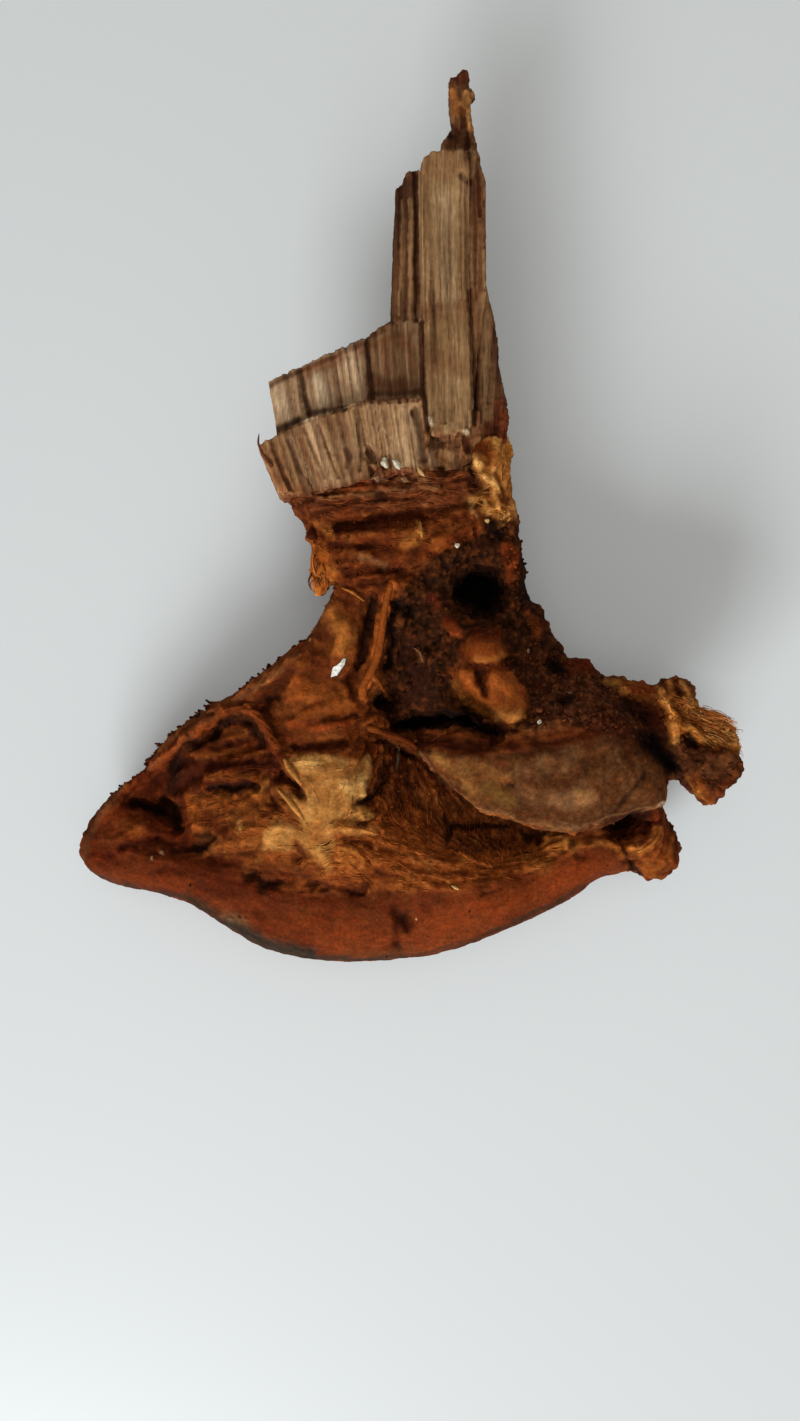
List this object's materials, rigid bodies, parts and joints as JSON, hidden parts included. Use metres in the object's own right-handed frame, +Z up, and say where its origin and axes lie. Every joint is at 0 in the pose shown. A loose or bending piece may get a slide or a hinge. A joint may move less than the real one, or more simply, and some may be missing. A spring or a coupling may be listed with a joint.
{
  "type": "bracket fungus",
  "caption": "Dried woody bracket fungus torn off its trunk, lying on its domed cap with the torn fibrous face up and splinters of wood held in its neck.",
  "frame": {"origin": "middle of the bounding box in X and Y, on the surface that the worn cap rests on", "axes": "+Y along the wood's grain, from the fungus to the splinters' tip; +X across it; +Z up, from the cap to the torn face"},
  "size_m": [0.122, 0.1623, 0.0375],
  "materials": {
    "fungus_flesh": "rough dry corky flesh, rust brown with tan fibres",
    "weathered_wood": "torn splintered grain, grey tan"
  },
  "bodies": {
    "root": {"bracket": "fungus_flesh", "wood_block": "weathered_wood", "wood_slab": "weathered_wood", "wood_edge": "weathered_wood"}
  },
  "joints": []
}
